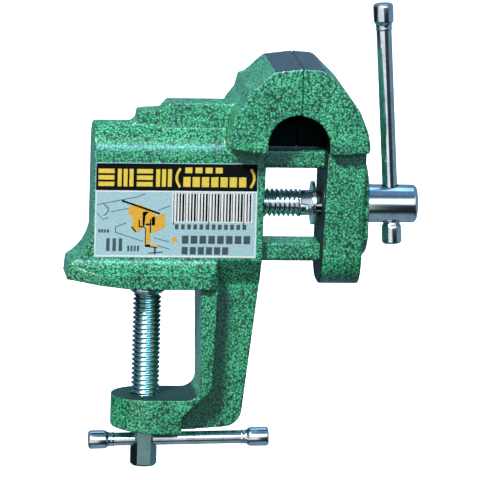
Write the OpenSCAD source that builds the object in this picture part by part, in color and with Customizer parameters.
// Clamp-on bench vise: a cast body with a fixed jaw and a C-shaped bench clamp, a moving jaw
// that slides on two flat guide bars and is drawn in by a screw spindle with a tommy bar.
// X is the way the jaw opens, Y is across the jaws, Z is up. The origin is on the bench seat,
// the underside of the upper flange, where the clamp screw's axis meets it.

/* [Jaws] */

// Width of both jaws, across Y
jaw_w = 50; // [44:1:60]
// Height of the top of the jaws above the bench seat
jaw_top = 95.6; // [94:0.1:98]
// How far the moving jaw opens
jaw_travel = 50; // [30:1:50]

/* [Body] */

// Thickness of the body block across Y
body_w = 25; // [23:0.5:28]
// X of the body block's left end face
body_left = -24.6; // [-28:0.1:-24]
// X of the body block's right end face
body_right = 47; // [45:0.1:47.4]
// Height of the anvil's top above the bench seat
anvil_top = 77.6; // [75:0.1:79]

/* [Bench clamp] */

// Width of the flange that sits on the bench, across Y
seat_w = 37; // [34:0.5:42]
// Height of the opening between the bench seat and the clamp's foot
clamp_gap = 47.9; // [46:0.1:50]
// Diameter of the clamp screw's thread
clamp_d = 12; // [10:0.5:12]

/* [Spindle and bars] */

// Height of the spindle's axis above the bench seat
spindle_z = 34.5; // [34:0.1:35]
// Diameter of the spindle's thread
spindle_d = 12; // [10:0.5:13]
// Width of the guide bars across Y
bar_w = 17; // [12:0.5:17.5]
// Length of the spindle's tommy bar between its caps
handle_span = 85.2; // [70:0.1:95]
// Length of the clamp's tommy bar between its caps
clamp_bar_span = 58.9; // [50:0.1:70]

/* [View] */

// Which node to draw, or all of them

/* [Hidden] */

$fn = 96;

paint = [0.10, 0.52, 0.28];
zinc = [0.72, 0.73, 0.74];
steel = [0.60, 0.61, 0.62];
sticker = [0.84, 0.88, 0.92];

// fits: how far a hole stands off what turns or slides in it, and how much a pressed piece bites
running = 0.05;
sliding = 0.15;
bite = 0.01;
past = 1;            // how far a cut runs past the face that it opens

// body block: a flat-sided bar with a half-round top
side = body_w / 2;
body_top = 69;
round_z = body_top - side;
end_round = 1.8;
end_lean = 1;         // the right end face runs out this much towards the top
block_foot = 11.5;   // below this the right-hand part narrows down to the web
web = 5;             // half the thickness of the C-frame's web
web_top = 0.7;

// flared left end
flare_r = 20;
flare_z = 27;        // where the flare leaves the end face
flare_in = 0.3;      // how far its curve reaches in behind that face
flare_tip = body_left - 10.4;
flare_lift = 3;      // the underside rises this much towards the tip
tip_lean = 2.4;      // of the tip's face, up to flare_z

// bench seat flange
seat_side = seat_w / 2;
seat_t = 6.6;
seat_fillet = seat_side - side;
seat_flat = -9;      // left of this the underside slopes up
seat_end = 28.3;

// upright of the C-frame: an inner flange with a web behind it
upright_x = 21.1;     // inner face at the top
upright_low_x = 22.3; // and at the bottom
upright_right = 28.7;
upright_side = 15.5;
corner_r = 6;

// foot with the clamp screw's thread
foot_top = -clamp_gap;
foot_t = 15;
foot_bottom = foot_top - foot_t;
foot_right = 14.5;
foot_round_x = 1;     // middle of the foot's half-round end
foot_rise = 1.5;     // the underside rises this much towards the round end
web_low = [16.5, foot_bottom];
web_corner = [40.2, foot_bottom + 2];
web_corner_r = 8;

// anvil behind the fixed jaw, with a low step on its left
anvil_side = 7;
anvil_root = 8;
anvil_left = 6.6;
anvil_right = 34;     // ends inside the fixed jaw
step_side = 6;
step_left = -6.2;
step_top = anvil_top - 3.6;

// jaws
parting = 61;        // the plane where the closed jaws meet
parting_gap = 0.05;
jaw_side = jaw_w / 2;
jaw_foot = 59.1;      // underside of the jaws beside the arch, just above the upper bar
jaw_foot_left = 61.3; // the fixed jaw's underside rises to this at its left end
arch_c = [60.05, 62.8];
arch_r = 12.95;

// front plate of the moving jaw
plate_x = 72.8;       // back face at the top; it leans to the left on the way down
plate_lean = 0.026;
plate_end = 89.3;     // front face at the top
plate_end_lean = 0.017;
plate_bottom = 1;
plate_side_top = 18.5;
plate_side_low = 17;
plate_round = 13;
boss_t = 2.3;
boss_chamfer = 1.2;
boss_r = 20.5;
boss_face_r = 19;
boss_side = 16.5;
boss_drop = 1.5;      // its middle lies this much below the spindle's axis
boss_face = plate_end - 0.4 + boss_t;

// guide bars
bar_t = 7.8;
bar_edge_top = 0.9;
bar_edge_low = 1.8;
engaged = 16.8;      // of each bar stays in the body when the jaw is fully open
bar_left = body_right - jaw_travel - engaged;
upper_bar_z = 54.3;
lower_bar_z = 14.7;
tenon_w = bar_w - 4;
tenon_t = bar_t - 2.2;
tenon_end = 84;
slot_left = bar_left - 2;

// spindle
spindle_r = spindle_d / 2;
spindle_left = bar_left - 1;
thread_right = 64.3;
shank_r = spindle_r - 0.6;
collar_gap = 0.3;    // between the jaw's boss and the spindle's head
head_r = 8.1;
head_left = boss_face + collar_gap;
head_right = 113.2;
head_round = 2.2;
handle_x = 102.1;
handle_hole_r = 3.9;
thread_chamfer = 1;

// spindle nut, a bush let into the body's right end and held by a set screw from behind
nut_r = 9;
nut_l = 18;
nut_right = body_right - 0.5;
nut_left = nut_right - nut_l;
screw_x = nut_right - nut_l / 2;
set_r = 2.5;
set_in = nut_r - 1;
set_socket = 2.5;

// spring pin and washer that pull the moving jaw back out
pin_x = 66.95;
pin_r = 1.25;
pin_l = 16;
pin_turn = 16;
washer_left = 68.3;
washer_t = 1.3;
washer_r = 9.25;

// tommy bar of the spindle, measured along its own axis from the middle of the head
handle_tilt = -3.9;
handle_r = 3.2;
handle_low = -8.45;  // where the bottom cap begins
handle_high = handle_low + handle_span;
cap_r = 4.2;
cap_top_l = 8.7;
cap_low_l = 8.7;
cap_bore = 6;
cap_edge = 1;

// clamp screw with a hexagonal end
clamp_r = clamp_d / 2;
clamp_top = -4.5;
clamp_thread_end = -64;
hex_end = -78.9;
hex_af = 9.8;
hex_turn = -2.5;
hex_chamfer = 0.8;

// swivel pad and its rivet
pad_top = -2.15;
pad_bottom = clamp_top + running;
pad_r = 7.8;
pad_edge = 0.4;
pad_taper = 1.5;
rivet_r = 2;
rivet_head_r = 3.9;
rivet_head_t = 1.2;
rivet_sunk = 0.2;
rivet_end = -11;

// tommy bar of the clamp, measured along its own axis from the screw's axis
clamp_bar_z = foot_bottom - 4.85;
clamp_bar_tilt = -2;
clamp_bar_r = 2.85;
clamp_hole_r = 3.15;
clamp_bar_left = -15.2;
clamp_bar_right = clamp_bar_left + clamp_bar_span;
clamp_cap_left_r = 4;
clamp_cap_right_r = 4.1;
clamp_cap_left_l = 8.4;
clamp_cap_right_l = 9.3;

// label on the body's front side
label_left = body_left + 0.6;
label_right = 44.3;
label_low = 12.8;
label_high = 53.1;
label_t = 0.15;

// ---------- helpers ----------

function unit(v) = v / norm(v);

// The points of a corner b between a and c, rounded to the radius in b's third number
function corner(a, b, c, steps) =
  let (
    at = [b[0], b[1]],
    u = unit([a[0], a[1]] - at),
    v = unit([c[0], c[1]] - at),
    half = acos(u * v) / 2,
    centre = at + unit(u + v) * b[2] / sin(half),
    start = at + u * b[2] / tan(half) - centre,
    turn = (u[0] * v[1] - u[1] * v[0] > 0 ? -1 : 1) * (180 - 2 * half)
  )
  b[2] == 0 ? [at] : [
    for (i = [0:steps])
      let (t = turn * i / steps)
        centre + [start[0] * cos(t) - start[1] * sin(t), start[0] * sin(t) + start[1] * cos(t)]
  ];

// An outline whose corners [x, y, r] are rounded to r
function rounded(pts, steps = 8) = [
  for (i = [0:len(pts) - 1])
    each corner(pts[(i + len(pts) - 1) % len(pts)], pts[i], pts[(i + 1) % len(pts)], steps)
];

// A shape drawn in X and Z, given a thickness in Y about the middle plane
module across(half) {
  rotate([90, 0, 0])
    linear_extrude(2 * half, center = true) children();
}

// A shape drawn in Y and Z, drawn out along X
module along(x0, x1) {
  translate([x0, 0, 0])
    rotate([90, 0, 90])
      linear_extrude(x1 - x0) children();
}

// A round bar on the X axis
module rod(x0, x1, r) {
  translate([x0, 0, 0])
    rotate([0, 90, 0])
      cylinder(r = r, h = x1 - x0);
}

// A round bar on the X axis with chamfered ends
module chamfered_rod(x0, x1, r, chamfer) {
  translate([x0, 0, 0])
    rotate([0, 90, 0])
      rotate_extrude()
        polygon([
          [0, 0], [r - chamfer, 0], [r, chamfer],
          [r, x1 - x0 - chamfer], [r - chamfer, x1 - x0], [0, x1 - x0],
        ]);
}

// A cap on the X axis with rounded edges, pressed on a bar that enters it from one side
module end_cap(x0, x1, r, bar_r, bar_from_left) {
  difference() {
    translate([x0, 0, 0])
      rotate([0, 90, 0])
        rotate_extrude()
          polygon(rounded([[0, 0, 0], [r, 0, cap_edge], [r, x1 - x0, cap_edge], [0, x1 - x0, 0]]));
    if (bar_from_left)
      rod(x0 - past, x0 + cap_bore, bar_r - bite);
    else
      rod(x1 - cap_bore, x1 + past, bar_r - bite);
  }
}

module at_spindle() {
  translate([0, 0, spindle_z]) children();
}

// The frame of the spindle's tommy bar: its own X runs up the bar
module at_handle() {
  translate([handle_x, 0, spindle_z])
    rotate([0, handle_tilt - 90, 0]) children();
}

// The frame of the clamp's tommy bar: its own X runs to the bar's long end
module at_clamp_bar() {
  translate([0, 0, clamp_bar_z])
    rotate([0, clamp_bar_tilt, hex_turn]) children();
}

// ---------- body casting ----------

// Height of the casting's underside, which rises towards the tip from seat_flat on
function seat_under(x) = flare_lift * max(0, seat_flat - x) / (seat_flat - flare_tip);

module block_section() {
  circle(r = side);
  translate([-side, -round_z])
    square([body_w, round_z]);
}

module narrowing_section() {
  polygon([[-side, block_foot], [side, block_foot], [web, web_top], [-web, web_top]]);
}

module body_block() {
  intersection() {
    union() {
      along(body_left, body_right + 2 * past)
        translate([0, round_z])
          difference() {
            block_section();
            translate([-side - past, -round_z - past])
              square([body_w + 2 * past, block_foot + past]);
          }
      along(body_left, seat_end)
        translate([-side, 0])
          square([body_w, block_foot + past]);
      along(seat_end - past, body_right + past)
        narrowing_section();
    }
    across(jaw_w)
      polygon(rounded([
        [body_left, seat_under(body_left), 0], [seat_flat, 0, 0],
        [body_right, 0, 0], [body_right, lower_bar_z, 0],
        [body_right + end_lean, body_top + past, 0], [body_left, body_top + 0.01, end_round],
      ]));
  }
}

// The flared end from the side, carried on to the right as far as x1
module flared_outline(x1) {
  difference() {
    polygon([
      [flare_tip, flare_lift], [seat_flat, 0], [x1, 0],
      [x1, flare_z], [flare_tip + tip_lean, flare_z],
    ]);
    translate([body_left - flare_r + flare_in, flare_z])
      circle(r = flare_r);
  }
}

module seat_section() {
  difference() {
    translate([-seat_side, 0])
      square([seat_w, seat_t + seat_fillet]);
    for (s = [-1, 1])
      translate([s * seat_side, seat_t + seat_fillet])
        circle(r = seat_fillet);
  }
}

// Upper flange with a fillet up to the body on both sides; its plan narrows to both ends
module seat_flange() {
  intersection() {
    along(flare_tip, seat_end)
      seat_section();
    across(jaw_w)
      flared_outline(seat_end);
    linear_extrude(flare_z)
      polygon([
        [flare_tip, -side], [body_left - 3, -seat_side + 3], [body_left + 3.5, -seat_side],
        [seat_end - 3.3, -seat_side], [seat_end, -upright_side],
        [seat_end, upright_side], [seat_end - 3.3, seat_side],
        [body_left + 3.5, seat_side], [body_left - 3, seat_side - 3], [flare_tip, side],
      ]);
  }
}

// Inner flange of the C-frame, turning at the bottom into the top of the foot
module upright() {
  across(upright_side) {
    polygon([
      [upright_x, seat_t / 2], [upright_right, seat_t / 2],
      [upright_right - 1.5, foot_top + corner_r], [upright_right - 2.9, foot_top + 3],
      [19.8, foot_top - 2.6], [foot_right, foot_top - 7.8],
      [foot_right - past, foot_top - 7.8], [foot_right - past, foot_top],
      [upright_low_x, foot_top], [upright_low_x, foot_top + corner_r],
    ]);
    difference() {
      translate([upright_low_x - corner_r, foot_top])
        square(corner_r + past);
      translate([upright_low_x - corner_r, foot_top + corner_r])
        circle(r = corner_r);
    }
  }
}

module frame_web() {
  across(web)
    polygon(rounded([
      [upright_low_x + 1, seat_t, 0], [body_right - 0.6, seat_t, 0], [body_right - 0.2, 0, 0],
      [web_corner[0], web_corner[1], web_corner_r], [web_low[0], web_low[1], 0],
      [foot_right - past, foot_bottom, 0], [foot_right - past, foot_top - past, 0],
      [upright_low_x + 1, foot_top - past, 0],
    ]));
}

// Foot: half-round about the clamp screw, its underside rising towards the round end
module foot() {
  intersection() {
    translate([0, 0, foot_bottom - past])
      linear_extrude(foot_t + past) {
        translate([foot_round_x, 0])
          circle(r = upright_side);
        translate([foot_round_x, -upright_side])
          square([foot_right - foot_round_x, 2 * upright_side]);
      }
    across(jaw_w)
      polygon([
        [-upright_side - past, foot_top], [foot_right, foot_top],
        [foot_right, foot_bottom], [3, foot_bottom],
        [-upright_side - past, foot_bottom + foot_rise],
      ]);
  }
}

module anvil() {
  intersection() {
    across(anvil_root)
      polygon([
        [anvil_left - 2.6, round_z], [anvil_left - 2.4, anvil_top - 2.7],
        [anvil_left, anvil_top], [anvil_right, anvil_top], [anvil_right, round_z],
      ]);
    along(anvil_left - 4, anvil_right + past)
      polygon([
        [-anvil_root, round_z], [anvil_root, round_z],
        [anvil_side, anvil_top], [-anvil_side, anvil_top],
      ]);
  }
  across(step_side)
    polygon(rounded([
      [step_left - 2.6, round_z, 0], [step_left - 2.6, body_top - 0.6, 0],
      [step_left - 0.4, body_top + 0.8, 1.5], [step_left, step_top - 0.2, 1],
      [anvil_left, step_top + 0.7, 0], [anvil_left, round_z, 0],
    ]));
}

// The hollow under the closed jaws, cut from both sides so that a web is left in the middle
module arch_recess() {
  for (s = [-1, 1])
    translate([0, s * (jaw_side / 2 + web + past), 0])
      across(jaw_side / 2 + past) {
        translate(arch_c)
          circle(r = arch_r);
        translate([arch_c[0] - arch_r, jaw_foot - past])
          square([2 * arch_r, arch_c[1] - jaw_foot + past]);
      }
}

module fixed_jaw() {
  difference() {
    across(jaw_side)
      polygon(rounded([
        [parting - parting_gap, jaw_foot, 0], [parting - parting_gap, jaw_top, 0],
        [48.8, jaw_top - 1.5, 1.2], [40.9, jaw_top - 8.7, 2], [38.2, jaw_top - 9.4, 0.8],
        [36.8, 80.5, 1.5], [32.7, 75.2, 8], [30.8, 66, 12], [30.8, jaw_foot_left, 0.5],
        [arch_c[0] - arch_r, jaw_foot, 0],
      ]));
    arch_recess();
  }
}

module bar_slot(z) {
  along(slot_left, body_right + 2 * past)
    translate([-bar_w / 2 - sliding, z - bar_t / 2 - sliding])
      square([bar_w + 2 * sliding, bar_t + 2 * sliding]);
}

module body_casting() {
  color(paint)
    difference() {
      union() {
        body_block();
        across(side)
          flared_outline(0);
        seat_flange();
        upright();
        frame_web();
        foot();
        anvil();
        fixed_jaw();
      }
      bar_slot(upper_bar_z);
      bar_slot(lower_bar_z);
      at_spindle() {
        rod(slot_left, body_right + 2 * past, spindle_r + 0.5);
        rod(nut_left, body_right + 2 * past, nut_r - bite);
        translate([screw_x, side + past, 0])
          rotate([90, 0, 0])
            cylinder(r = set_r - bite, h = side + past - set_in);
      }
      translate([0, 0, foot_bottom - past])
        cylinder(r = clamp_r + running, h = foot_t + 2 * past);
    }
}

// ---------- moving jaw and guide bars ----------

// X of the front plate's leaning back and front faces at a height
function plate_back(z) = plate_x - plate_lean * (jaw_foot - z);
function plate_front(z) = plate_end - plate_end_lean * (jaw_foot - z);

module front_plate() {
  plate_top = jaw_foot + past;
  intersection() {
    along(plate_back(0), plate_front(plate_top))
      polygon(rounded([
        [plate_side_top, plate_top, 0], [-plate_side_top, plate_top, 0],
        [-plate_side_low, plate_bottom, plate_round], [plate_side_low, plate_bottom, plate_round],
      ]));
    across(jaw_w)
      polygon([
        [plate_back(plate_top), plate_top], [plate_back(0), 0],
        [plate_front(0), 0], [plate_front(plate_top), plate_top],
      ]);
  }
}

module spindle_boss() {
  intersection() {
    at_spindle()
      translate([boss_face, 0, -boss_drop])
        rotate([0, -90, 0]) {
          cylinder(r1 = boss_face_r, r2 = boss_r, h = boss_chamfer);
          translate([0, 0, boss_chamfer])
            cylinder(r = boss_r, h = boss_t + past);
        }
    translate([plate_x, -boss_side, 0])
      cube([boss_face - plate_x + past, 2 * boss_side, jaw_top]);
  }
}

module tenon_hole(z) {
  translate([plate_back(0) - past, -tenon_w / 2 + bite, z - tenon_t / 2 + bite])
    cube([tenon_end - plate_back(0) + past + 0.5, tenon_w - 2 * bite, tenon_t - 2 * bite]);
}

module moving_jaw() {
  color(paint)
    difference() {
      union() {
        difference() {
          across(jaw_side)
            polygon(rounded([
              [parting + parting_gap, jaw_foot, 0], [parting + parting_gap, jaw_top, 0],
              [69.8, jaw_top - 0.7, 4.5], [79.4, jaw_top - 10.1, 4], [85.3, 77.5, 10],
              [89, 68.5, 15], [90.1, 61.8, 1.5], [89.6, jaw_foot + 0.7, 0.5],
              [arch_c[0] + arch_r, jaw_foot, 0],
            ]));
          translate([0, 0, -0.4])
            arch_recess();
        }
        front_plate();
        spindle_boss();
      }
      tenon_hole(upper_bar_z);
      tenon_hole(lower_bar_z);
      at_spindle()
        rod(plate_back(0) - past, boss_face + past, shank_r + running);
    }
}

// A flat bar with rounded edges and a smaller tenon that is pressed into the moving jaw
module guide_bar(z) {
  bar_right = plate_back(z - bar_t / 2) - 0.02;
  along(bar_left, bar_right)
    polygon(rounded([
      [bar_w / 2, z - bar_t / 2, bar_edge_low], [bar_w / 2, z + bar_t / 2, bar_edge_top],
      [-bar_w / 2, z + bar_t / 2, bar_edge_top], [-bar_w / 2, z - bar_t / 2, bar_edge_low],
    ], 5));
  translate([bar_right - past, -tenon_w / 2, z - tenon_t / 2])
    cube([tenon_end - bar_right + past, tenon_w, tenon_t]);
}

module upper_guide_bar() {
  color(paint)
    guide_bar(upper_bar_z);
}

module lower_guide_bar() {
  color(paint)
    guide_bar(lower_bar_z);
}

// ---------- spindle ----------

module spindle_head() {
  translate([head_left, 0, 0])
    rotate([0, 90, 0])
      rotate_extrude()
        polygon(rounded([
          [0, 0, 0], [head_r, 0, 0.6],
          [head_r, head_right - head_left, head_round], [0, head_right - head_left, 0],
        ]));
}

module spindle() {
  color(zinc)
    difference() {
      at_spindle() {
        chamfered_rod(spindle_left, thread_right, spindle_r, thread_chamfer);
        rod(thread_right - past, head_left + past, shank_r);
        spindle_head();
      }
      at_handle()
        rod(-head_r - 3, head_r + 3, handle_hole_r);
      at_spindle()
        translate([pin_x, 0, 0])
          rotate([90 + pin_turn, 0, 0])
            cylinder(r = pin_r - bite, h = pin_l + past, center = true);
    }
}

module spindle_nut() {
  color(steel)
    at_spindle()
      difference() {
        chamfered_rod(nut_left, nut_right, nut_r, 0.5);
        rod(nut_left - past, nut_right + past, spindle_r + running);
        translate([screw_x, nut_r + past, 0])
          rotate([90, 0, 0])
            cylinder(r = set_r + running, h = nut_r + past - set_in + running);
      }
}

module nut_set_screw() {
  color(steel)
    at_spindle()
      translate([screw_x, 0, 0])
        rotate([-90, 0, 0])
          difference() {
            translate([0, 0, set_in])
              cylinder(r = set_r, h = side - set_in - 0.5);
            translate([0, 0, side - 0.5 - set_socket])
              cylinder(r = set_r * 0.58, h = set_socket + past, $fn = 6);
          }
}

module spindle_pin() {
  color(steel)
    at_spindle()
      translate([pin_x, 0, 0])
        rotate([90 + pin_turn, 0, 0])
          cylinder(r = pin_r, h = pin_l, center = true);
}

module spindle_washer() {
  color(zinc)
    at_spindle()
      difference() {
        rod(washer_left, washer_left + washer_t, washer_r);
        rod(washer_left - past, washer_left + washer_t + past, shank_r + running);
      }
}

// ---------- spindle's tommy bar ----------

module handle_bar() {
  color(zinc)
    at_handle()
      rod(handle_low - cap_bore + running, handle_high + cap_bore - running, handle_r);
}

module handle_cap_top() {
  color(zinc)
    at_handle()
      end_cap(handle_high, handle_high + cap_top_l, cap_r, handle_r, true);
}

module handle_cap_bottom() {
  color(zinc)
    at_handle()
      end_cap(handle_low - cap_low_l, handle_low, cap_r, handle_r, false);
}

// ---------- bench clamp ----------

module clamp_screw() {
  color(zinc)
    difference() {
      union() {
        translate([0, 0, clamp_thread_end])
          rotate([0, -90, 0])
            chamfered_rod(0, clamp_top - clamp_thread_end, clamp_r, thread_chamfer);
        intersection() {
          translate([0, 0, hex_end])
            rotate([0, 0, hex_turn])
              cylinder(r = hex_af / sqrt(3), h = clamp_thread_end - hex_end + past, $fn = 6);
          translate([0, 0, hex_end])
            cylinder(
              r1 = hex_af / sqrt(3) - hex_chamfer,
              r2 = hex_af / sqrt(3) + clamp_thread_end - hex_end,
              h = clamp_thread_end - hex_end + hex_chamfer
            );
        }
      }
      translate([0, 0, rivet_end - running])
        cylinder(r = rivet_r - bite, h = clamp_top - rivet_end + past);
      at_clamp_bar()
        rod(-hex_af, hex_af, clamp_hole_r);
    }
}

module clamp_pad() {
  color(zinc)
    difference() {
      translate([0, 0, pad_bottom])
        rotate_extrude()
          polygon(rounded([
            [0, 0, 0], [pad_r - pad_taper, 0, pad_edge], [pad_r, pad_taper, pad_edge],
            [pad_r, pad_top - pad_bottom, pad_edge], [0, pad_top - pad_bottom, 0],
          ]));
      translate([0, 0, pad_bottom - past])
        cylinder(r = rivet_r + running, h = 4 * past);
      translate([0, 0, pad_top - rivet_sunk - rivet_head_t])
        cylinder(r1 = rivet_r + running, r2 = rivet_head_r + running, h = rivet_head_t);
      translate([0, 0, pad_top - rivet_sunk])
        cylinder(r = rivet_head_r + running, h = rivet_sunk + past);
    }
}

// Rivet with a sunk head: pressed into the screw, it lets the pad turn under its head
module pad_rivet() {
  color(steel) {
    translate([0, 0, rivet_end])
      cylinder(r = rivet_r, h = pad_top - rivet_sunk - running - rivet_end);
    translate([0, 0, pad_top - rivet_sunk - rivet_head_t])
      cylinder(r1 = rivet_r, r2 = rivet_head_r - running, h = rivet_head_t - running);
  }
}

module clamp_bar() {
  color(zinc)
    at_clamp_bar()
      rod(
        clamp_bar_left - cap_bore + running,
        clamp_bar_right + cap_bore - running,
        clamp_bar_r
      );
}

module clamp_cap_left() {
  color(zinc)
    at_clamp_bar()
      end_cap(clamp_bar_left - clamp_cap_left_l, clamp_bar_left, clamp_cap_left_r,
        clamp_bar_r, false);
}

module clamp_cap_right() {
  color(zinc)
    at_clamp_bar()
      end_cap(clamp_bar_right, clamp_bar_right + clamp_cap_right_l, clamp_cap_right_r,
        clamp_bar_r, true);
}

// ---------- label ----------

module label() {
  color(sticker)
    translate([label_left, -side - label_t, label_low])
      cube([label_right - label_left, label_t, label_high - label_low]);
}

body_casting();
moving_jaw();
upper_guide_bar();
lower_guide_bar();
spindle();
spindle_nut();
nut_set_screw();
spindle_pin();
spindle_washer();
handle_bar();
handle_cap_top();
handle_cap_bottom();
clamp_screw();
clamp_pad();
pad_rivet();
clamp_bar();
clamp_cap_left();
clamp_cap_right();
label();
